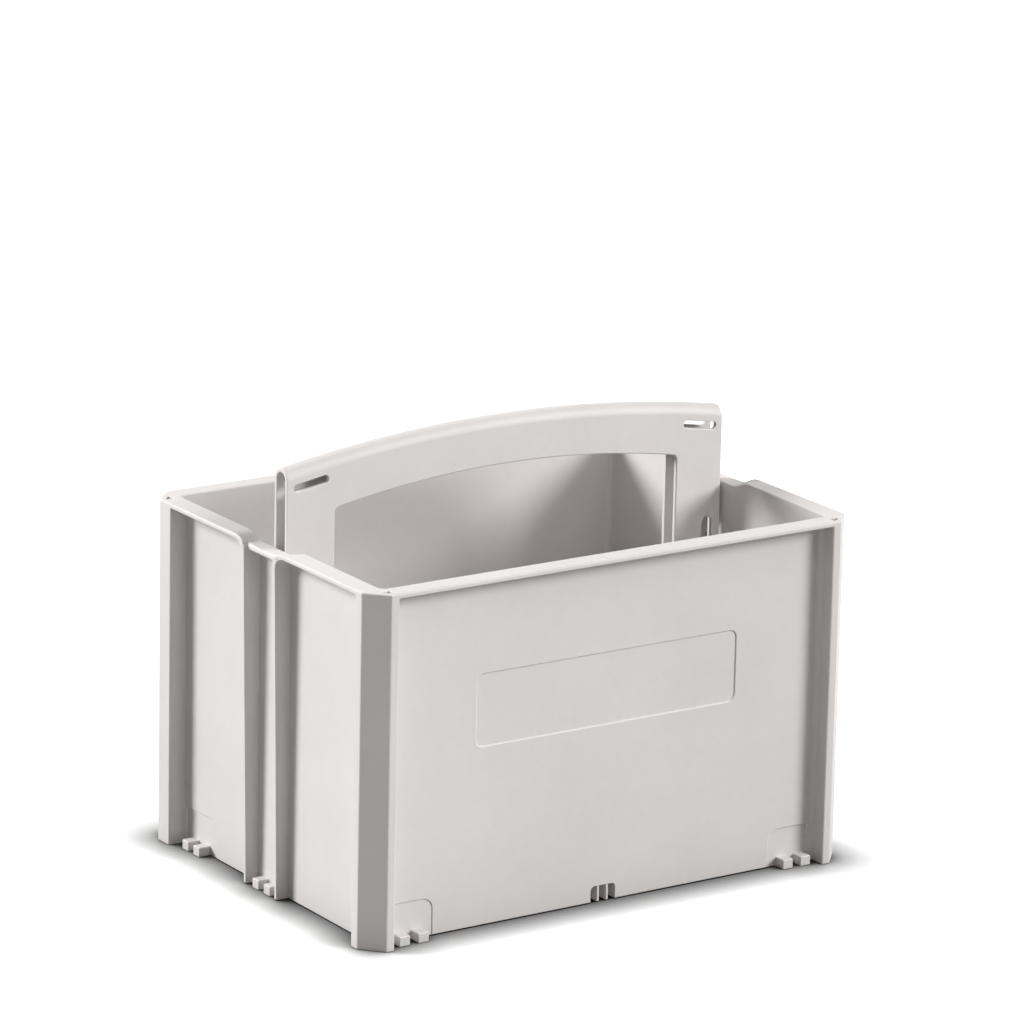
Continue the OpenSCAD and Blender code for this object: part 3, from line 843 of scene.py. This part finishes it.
def end_ribs(tub):
    """Two tall ribs outside each end wall; the rim turns down into them in one sweep."""
    y0 = tub.rib_pitch / 2 - tub.rib_t / 2
    y1 = tub.rib_pitch / 2 + tub.rib_t / 2
    r = tub.rib_blend
    under = tub.rim_under
    sweep = arc(y1 + r, under - r, r, math.pi, math.pi / 2, 12)
    stops = (y1 + r, y1 + r * 0.75, y1 + r / 2, y1 + r / 4, y1, y0)
    crest = [(y, rim_z(tub, y) - tub.rim_t / 8) for y in stops]
    outline = [(y0, tub.skirt), (y1, tub.skirt), *sweep, *crest]
    inner = tub.panel_x - tub.wall / 2
    hair, outer_band = 0.02, 6.0
    between = (tub.half_l - outer_band,)
    rib = prism(outline, inner, tub.half_l - hair, r_high=0.6, axis="X", between=between)
    for vert in rib.data.vertices:  # the outer edge leans out from the foot to the rim
        x, z = vert.co.x / MM, vert.co.z / MM
        if x > inner + BITE:
            share = (z - tub.skirt) / (tub.size_h - tub.skirt)
            vert.co.x = (x - tub.rib_setback * (1 - share)) * MM
    return four_corners(rib)


def teeth(tub, material):
    """Pairs of stacking teeth under the panels: a row of two, copied to each place."""
    d = tub.detail
    tooth = rectangle(-d.tooth_w / 2, 0, d.tooth_w / 2, d.tooth_h, 0.8)
    made = []
    for middle, face, axis in (
        (d.tooth_long_x, tub.panel_y, "Y"),
        (0.0, tub.panel_x, "X"),
        (d.tooth_end_y, tub.panel_x, "X"),
    ):
        single = prism(tooth, face - tub.wall / 2, face + d.tooth_depth, r_high=0.7, axis=axis)
        first, step = middle - d.tooth_pitch / 2, d.tooth_pitch
        if axis == "X":
            made += both_ends(in_a_row(single, material, (0, first, 0), (0, step, 0), 2))
        else:
            made += four_corners(in_a_row(single, material, (first, 0, 0), (step, 0, 0), 2))
    return made


def notches(tub, material):
    """Grip notch in each long panel's lower edge: its box inside the tub, its opening, and its two ribs."""
    d = tub.detail
    wall, half, r = tub.wall, d.notch_w / 2, d.notch_r
    back = tub.panel_y - d.notch_depth
    box = rectangle(-half - wall, tub.skirt, half + wall, d.notch_h + wall, [0, 0, r + wall, r + wall])
    bump = prism(box, back - wall, tub.panel_y - wall / 2, r_low=1.6, axis="Y")
    gap = rectangle(-half, -CUT, half, d.notch_h, [0, 0, r, r])
    opening = prism(gap, back, tub.panel_y, r_low=0.8, r_high=-0.6, axis="Y")
    plate = rectangle(-d.notch_rib / 2, tub.skirt, d.notch_rib / 2, d.notch_h + BITE)
    rib = prism(plate, back - BITE, tub.panel_y - 0.5, r_high=0.5, axis="Y")
    pitch = d.notch_rib_pitch
    ribs = in_a_row(rib, material, (-pitch / 2, 0, 0), (pitch, 0, 0), 2)
    return front_and_back(bump), front_and_back(opening), front_and_back(ribs)


def sunk_fields(tub):
    """Cutters for the bare label field on the front and for the sunk corner pads."""
    d = tub.detail
    half_l, half_h = d.label_l / 2, d.label_h / 2
    field = rectangle(-half_l, d.label_z - half_h, half_l, d.label_z + half_h, d.label_r)
    deep = -tub.panel_y + d.label_depth
    made = [prism(field, -tub.panel_y, deep, r_low=-0.9, r_high=0.15, axis="Y")]
    radii = [0, 0, 0.3, d.pad_r]
    start = tub.post_x - tub.blend_r - d.pad_gap
    pad = rectangle(start - d.pad_long, -CUT, start, d.pad_h, radii)
    made += four_corners(prism(pad, tub.panel_y - d.pad_depth, tub.panel_y, r_low=0.2, r_high=-0.8, axis="Y"))
    start = tub.half_w - tub.chamfer_w - tub.strip_rear
    pad = rectangle(start - d.pad_end, -CUT, start - 2 * d.pad_gap, d.pad_h, radii)
    made += both_ends(prism(pad, tub.panel_x - d.pad_depth, tub.panel_x, r_low=0.2, r_high=-0.8, axis="X"))
    return made


def guides(tub, slide):
    """Rails inside each end wall with the bosses for the stop pins, and the bores through them."""
    d = tub.detail
    low, high, rail_r = tub.bottom_top - BITE, tub.size_h - tub.dip_depth - d.rail_drop, 5
    side = rectangle(tub.inner_x - d.rail_d, low, tub.inner_x + BITE, high, [0, 0, 0, rail_r])
    inside, out = slide.rail_y, slide.boss_out
    rail = prism(side, inside, inside + d.rail_t, r_low=0.7, r_high=0.7, axis="Y")
    round_boss = circle(slide.pin_x, slide.pin_z, d.boss_d / 2)
    boss = prism(round_boss, inside + d.rail_t / 2, out, r_high=0.9, axis="Y")
    round_bore = circle(slide.pin_x, slide.pin_z, slide.pin_d / 2 + 0.02)
    bore = prism(round_bore, -out, out, r_low=-0.4, r_high=-0.4, axis="Y")
    return four_corners(rail) + four_corners(boss), both_ends(bore)


def ejector_marks(tub, material):
    """Shallow round marks that the ejector pins leave on the bottom, in rows."""
    pitch, rows, depth = 70.0, (-95.0, 95.0), 0.25
    made = []
    for y in rows:
        plan = circle(0, 0, tub.detail.eject_d / 2, 6)
        mark = prism(plan, tub.bottom_top - depth, tub.bottom_top, r_high=-0.1)
        made.append(in_a_row(mark, material, (-2 * pitch, y, 0), (pitch, 0, 0), 5))
    return made


def make_tub():
    tub, _, slide = all_sizes()
    material = moulded_abs("ABS, moulded, spark-eroded", grain_mm=1.3, roughness=0.54)
    shell = tub_shell(tub, material)
    post_solids, hollows = posts(tub)
    bumps, notch_openings, notch_ribs = notches(tub, material)
    rails, bores = guides(tub, slide)
    combine(shell, post_solids + end_ribs(tub) + bumps + rails, "UNION")
    combine(shell, hollows + post_openings(tub) + sunk_fields(tub) + notch_openings + bores, "DIFFERENCE")
    combine(shell, ejector_marks(tub, material), "DIFFERENCE")
    combine(shell, teeth(tub, material) + notch_ribs, "UNION")
    finish(shell, "caddy_tub", material, "tub_body", "tub")


# ---------------- handle


def bar_plan(half_t, top_z, drop, crown):
    """Section across the grip: straight sides under a round top, whose centre lies a crown below it."""
    return [(-half_t, top_z - drop), (half_t, top_z - drop), *arc(0, top_z - crown, half_t, 0, math.pi, 24)]


def handle_side(handle):
    """Side view of the handle: two legs and the arched opening between them; its ends and top run long."""
    past = 12  # how far it runs past the bar that it is cut to
    out, roof = handle.half_l + past, handle.top_z + past
    centre = handle.top_z - handle.grip_h - handle.under_r
    r = handle.window_r
    corner_x = handle.window_x - r
    corner_z = centre + math.sqrt((handle.under_r - r) ** 2 - corner_x**2)
    lean = math.asin(corner_x / (handle.under_r - r))
    upright = math.pi / 2
    side = [(handle.window_x, handle.foot_z), *arc(corner_x, corner_z, r, 0, upright - lean, 10)]
    window = side + arc(0, centre, handle.under_r, upright - lean, upright + lean, 60)[1:-1]
    window += [(-x, z) for x, z in reversed(side)]
    return [*window, (-out, handle.foot_z), (-out, roof), (out, roof), (out, handle.foot_z)]


def handle_openings(tub, handle, slide):
    """Cutters for the strap slots near the ends and for the upright slots that run past the stop pins."""
    half_t = handle.half_t
    slot_r = handle.arch_r - handle.slot_drop
    middle = handle.half_l - handle.leg / 2
    lean = math.asin(middle / slot_r)
    z = handle.top_z - handle.arch_r + slot_r * math.cos(lean)
    strap = stadium(middle, z, handle.slot_l, handle.slot_h, -lean)
    travel, width = handle.top_z - tub.size_h, handle.travel_slot
    upright = stadium(slide.pin_x, slide.pin_z + travel / 2, travel + width, width, math.pi / 2)
    strap_cutter = prism(strap, -half_t, half_t, r_low=-0.7, r_high=-0.7, axis="Y")
    upright_cutter = prism(upright, -half_t, half_t, r_low=-0.4, r_high=-0.4, axis="Y")
    return both_ends(strap_cutter) + both_ends(upright_cutter)


def handle_webs(handle, slide, material):
    """One web down each leg and a row of webs under the grip, all between the plates."""
    half, y = handle.web / 2, handle.half_t - handle.plate / 2
    crown_z = handle.top_z - handle.half_t
    under = crown_z - handle.web_h
    web = prism([(-y, under), (y, under), *arc(0, crown_z, y, 0, math.pi, 16)], -half, half, axis="X")
    reach = handle.window_x - handle.window_r
    step = 2 * reach / (handle.webs + 1)
    row = in_a_row(web, material, (-reach + step, 0, 0), (step, 0, 0), handle.webs)
    web_x = (handle.window_x + slide.pin_x - handle.travel_slot / 2) / 2
    low = handle.foot_z + slide.shoe_plug + handle.web
    under_slot = handle.arch_r - handle.slot_drop - handle.slot_h
    high = handle.top_z - handle.arch_r + math.sqrt(under_slot**2 - handle.half_l**2)
    leg = prism(rectangle(-y, low, y, high), web_x - half, web_x + half, axis="X")
    return [arched(row, handle, material), *both_ends(leg)]


def make_handle():
    tub, handle, slide = all_sizes()
    material = moulded_abs("ABS, moulded, fine spark-eroded", grain_mm=0.9, roughness=0.56)
    half_l, half_t, end_r, edge_r = handle.half_l, handle.half_t, handle.end_r, handle.edge_r
    steps, from_end = 72, 4
    run = half_l - from_end
    between = [-run + 2 * run * k / steps for k in range(steps + 1)]
    over, hair = 20, 0.01
    drop = handle.top_z - handle.foot_z + over
    outer = bar_plan(half_t + hair, handle.top_z, drop, half_t)
    bar = prism(outer, -half_l, half_l, end_r, end_r, axis="X", between=between)
    bar.name = "caddy_handle"
    arched(bar, handle, material)
    side = prism(handle_side(handle), -half_t, half_t, edge_r, edge_r, axis="Y")
    combine(bar, [side], "INTERSECT")
    inner = bar_plan(handle.plate_in, handle.top_z - handle.plate, drop + over, handle.plate_in)
    hollow = prism(inner, -half_l, half_l, r_low=-0.8, r_high=-0.8, axis="X", between=between)
    arched(hollow, handle, material)
    combine(bar, [hollow], "DIFFERENCE")
    combine(bar, handle_webs(handle, slide, material), "UNION")
    combine(bar, handle_openings(tub, handle, slide), "DIFFERENCE")
    finish(bar, "caddy_handle", material, "handle_body", "handle")


# ---------------- sliding parts


def make_shoes():
    """A shoe for the foot of each leg: a plug between the plates and a sole that runs between the rails."""
    _, handle, slide = all_sizes()
    material = smooth_acetal()
    plug_gap, sole_gap, side_wall, end_wall = 0.3, 0.35, 2.0, 2.5
    x0, x1 = handle.window_x + slide.shoe_inset, handle.half_l - slide.shoe_inset
    plug_y, sole_y = handle.plate_in - plug_gap, slide.rail_y - sole_gap
    foot_z, top_z = handle.foot_z, handle.foot_z + slide.shoe_plug
    sole_plan = rectangle(x0, -sole_y, x1, sole_y, 1.5)
    sole = prism(sole_plan, foot_z - slide.shoe_sole, foot_z, r_low=0.8, r_high=0.5)
    plug = prism(rectangle(x0, -plug_y, x1, plug_y, 1.0), foot_z - BITE, top_z, r_high=0.8)
    inner_y = plug_y - side_wall
    hollow = rectangle(x0 + end_wall, -inner_y, x1 - end_wall, inner_y, 1.0)
    pocket = prism(hollow, foot_z, top_z, r_low=0.5, r_high=-0.3)
    shoe = combine(combine(sole, [plug], "UNION"), [pocket], "DIFFERENCE")
    for solid, side in zip(both_ends(shoe), ("right", "left")):
        finish(solid, f"caddy_{side}_shoe", material, "handle_body", f"{side}_shoe")


def make_pins():
    """The two stop pins, each tapped into its bosses, with led-in ends and the dimples of its mould."""
    _, _, slide = all_sizes()
    material = filled_nylon()
    x, z, out = slide.pin_x, slide.pin_z, slide.boss_out
    pin = prism(circle(x, z, slide.pin_d / 2), -out, out, r_low=0.8, r_high=0.8, axis="Y")
    dimple_r, dimple_depth = 1.4, 0.8
    dimple = prism(circle(x, z, dimple_r, 6), out - dimple_depth, out, r_low=0.3, r_high=-0.3, axis="Y")
    combine(pin, front_and_back(dimple), "DIFFERENCE")
    for solid, side in zip(both_ends(pin), ("right", "left")):
        finish(solid, f"caddy_{side}_stop_pin", material, "tub_body", f"{side}_stop_pin")


# ---------------- finishing a piece


def finish(solid, name, material, body, node):
    """Closes the mesh's shortest edges, shades it smooth up to its real corners, and puts it on its body."""
    triangulated(solid, SHORTEST)
    solid.name = name
    solid.data.name = name
    solid.data.materials.clear()
    solid.data.materials.append(material)
    solid.data.shade_smooth()
    solid.data.set_sharp_from_angle(angle=math.radians(SHARP))
    weights = solid.modifiers.new("weights", "WEIGHTED_NORMAL")
    weights.mode = "FACE_AREA"
    weights.keep_sharp = True
    settle(solid)
    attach(solid, body)
    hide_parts(node)


# ---------------- stage


def background_rays(tree):
    """1 for rays that show the background: from the camera, or by way of gloss or glass."""
    path = add(tree, "ShaderNodeLightPath").outputs
    seen = add(tree, MATHS, [path["Is Camera Ray"], path["Is Glossy Ray"]], operation="ADD")
    return add(tree, MATHS, [seen, path["Is Transmission Ray"]], operation="ADD", use_clamp=True)


def make_floor(colours, stage):
    """Plain white sheet: white to the camera, paler grey to the light that it throws back, with a painted
    contact shadow close to the caddy.
    """
    material, tree = new_material("studio paper, matt white")
    seen = background_rays(tree)
    sheet = {0: seen, 6: rgba(linear("#8e8e8e")), 7: rgba(colours.ground)}
    shade = add(tree, "ShaderNodeMix", sheet, data_type="RGBA").outputs[2]
    # To the camera the paper is lit from behind as well, so that the lamps' shadows on it wash out to white.
    # The shadow close to the caddy is painted: there, ambient occlusion darkens both the sheet's colour and
    # its glow.
    # It is painted on the side away from the front light, so the rays that look for the caddy lean that way.
    rays = {"Distance": stage.shadow_reach * MM, "Normal": SHADOW_LEAN}
    near = add(tree, "ShaderNodeAmbientOcclusion", rays, samples=16).outputs["AO"]
    open_share = add(tree, MATHS, [near, SHADOW_POWER], operation="POWER")
    # Painted contact shadow: the sheet's colour is darkened near the caddy.
    painted_shadow_sheet = add(tree, "ShaderNodeVectorMath", {0: shade, "Scale": open_share}, operation="SCALE")
    matt = add(tree, "ShaderNodeBsdfDiffuse", {"Color": painted_shadow_sheet})
    glow = add(tree, MATHS, [open_share, stage.paper_glow], operation="MULTIPLY")
    lift = add(tree, "ShaderNodeEmission", {"Strength": add(tree, MATHS, [seen, glow], operation="MULTIPLY")})
    paper = add(tree, "ShaderNodeAddShader", [matt, lift])
    clear = add(tree, "ShaderNodeBsdfTransparent")
    below = add(tree, "ShaderNodeNewGeometry").outputs["Backfacing"]
    both = add(tree, "ShaderNodeMixShader", [below, paper, clear])
    add(tree, "ShaderNodeOutputMaterial", {"Surface": both})
    bm = bmesh.new()
    bmesh.ops.create_grid(bm, x_segments=4, y_segments=4, size=9.0)
    mesh = bpy.data.meshes.new("floor")
    bm.to_mesh(mesh)
    bm.free()
    mesh.materials.append(material)
    link(mesh, "floor")


def make_world(fill):
    world = bpy.data.worlds.new("studio")
    bpy.context.scene.world = world
    world.use_nodes = True
    tree = world.node_tree
    tree.nodes.clear()
    level = add(tree, RANGE, [background_rays(tree), 0.0, 1.0, fill, 1.0])
    light = add(tree, "ShaderNodeBackground", {"Color": (1, 1, 1, 1), "Strength": level})
    add(tree, "ShaderNodeOutputWorld", {"Surface": light})


def make_light(name, towards, share, spread):
    """A soft light from far away. A share of 1 lights a face that looks at it to its written colour."""
    lamp = bpy.data.lights.new(name, "SUN")
    lamp.energy = share * math.pi
    lamp.angle = math.radians(spread)
    made = bpy.data.objects.new(name, lamp)
    direction = Vector(towards).normalized()
    made.rotation_mode = "QUATERNION"
    made.rotation_quaternion = direction.to_track_quat("Z", "Y")
    made.location = direction * 3
    bpy.context.scene.collection.objects.link(made)


def make_camera(stage):
    a, e = stage.azimuth, stage.elevation
    back = Vector((math.sin(a) * math.cos(e), -math.cos(a) * math.cos(e), math.sin(e)))
    data = bpy.data.cameras.new("camera")
    data.sensor_width = SENSOR
    data.lens = stage.focal
    data.clip_end = 100
    camera = bpy.data.objects.new("camera", data)
    camera.rotation_mode = "QUATERNION"
    camera.rotation_quaternion = (-back).to_track_quat("-Z", "Y") @ Quaternion((0, 0, 1), stage.roll)
    camera.location = Vector(stage.target) + back * stage.distance
    bpy.context.scene.collection.objects.link(camera)
    bpy.context.scene.camera = camera


def make_stage():
    scene = bpy.context.scene
    stage = scene.caddy_stage
    scene.view_settings.view_transform = "Standard"
    make_floor(scene.caddy_finish, in_mm(stage))
    make_world(stage.fill)
    make_light("left_light", (-0.65, 0.635, 0.42), stage.key, spread=22)
    make_light("front_light", (0.63, -0.655, 0.42), stage.front, spread=24)
    make_light("top_light", (0.0, -0.4, 0.92), stage.overhead, spread=40)
    make_camera(stage)


# ---------------- add-on


class CADDY_OT_tub(bpy.types.Operator):
    """Builds the tub: shell, posts, ribs, teeth, notches and guides in one moulding"""

    bl_idname = "caddy.tub"
    bl_label = "Tub"

    def execute(self, context):
        make_tub()
        return {"FINISHED"}


class CADDY_OT_handle(bpy.types.Operator):
    """Builds the arched handle with its two legs"""

    bl_idname = "caddy.handle"
    bl_label = "Handle"

    def execute(self, context):
        make_handle()
        return {"FINISHED"}


class CADDY_OT_shoes(bpy.types.Operator):
    """Builds the two sliding shoes in the feet of the legs"""

    bl_idname = "caddy.shoes"
    bl_label = "Sliding shoes"

    def execute(self, context):
        make_shoes()
        return {"FINISHED"}


class CADDY_OT_pins(bpy.types.Operator):
    """Builds the two stop pins"""

    bl_idname = "caddy.pins"
    bl_label = "Stop pins"

    def execute(self, context):
        make_pins()
        return {"FINISHED"}


class CADDY_OT_stage(bpy.types.Operator):
    """Sets up the floor, the lights and the camera"""

    bl_idname = "caddy.stage"
    bl_label = "Stage"

    def execute(self, context):
        make_stage()
        return {"FINISHED"}


OPERATORS = (CADDY_OT_tub, CADDY_OT_handle, CADDY_OT_shoes, CADDY_OT_pins, CADDY_OT_stage)
SETTINGS = {
    "caddy_tub": CaddyTubSettings,
    "caddy_detail": CaddyTubDetailSettings,
    "caddy_handle": CaddyHandleSettings,
    "caddy_sliding": CaddySlidingSettings,
    "caddy_finish": CaddyFinishSettings,
    "caddy_stage": CaddyStageSettings,
}


class CADDY_PT_panel(bpy.types.Panel):
    """Lists the caddy's pieces and their settings"""

    bl_idname = "CADDY_PT_panel"
    bl_label = "Tool caddy"
    bl_space_type = "VIEW_3D"
    bl_region_type = "UI"
    bl_category = "Tool caddy"

    def draw(self, context):
        for operator in OPERATORS:
            self.layout.operator(operator.bl_idname)
        for name in SETTINGS:
            group = getattr(context.scene, name)
            box = self.layout.box()
            box.label(text=name.replace("_", " "))
            for prop in group.bl_rna.properties:
                if not prop.is_readonly and prop.identifier != "name":
                    box.prop(group, prop.identifier)


CLASSES = (*SETTINGS.values(), *OPERATORS, CADDY_PT_panel)


def register():
    for cls in CLASSES:
        bpy.utils.register_class(cls)
    for name, cls in SETTINGS.items():
        setattr(bpy.types.Scene, name, PointerProperty(type=cls))


def unregister():
    for name in SETTINGS:
        delattr(bpy.types.Scene, name)
    for cls in reversed(CLASSES):
        bpy.utils.unregister_class(cls)


def main():
    register()
    bpy.ops.caddy.tub()
    bpy.ops.caddy.handle()
    bpy.ops.caddy.shoes()
    bpy.ops.caddy.pins()
    bpy.ops.caddy.stage()


if __name__ == "__main__":
    main()
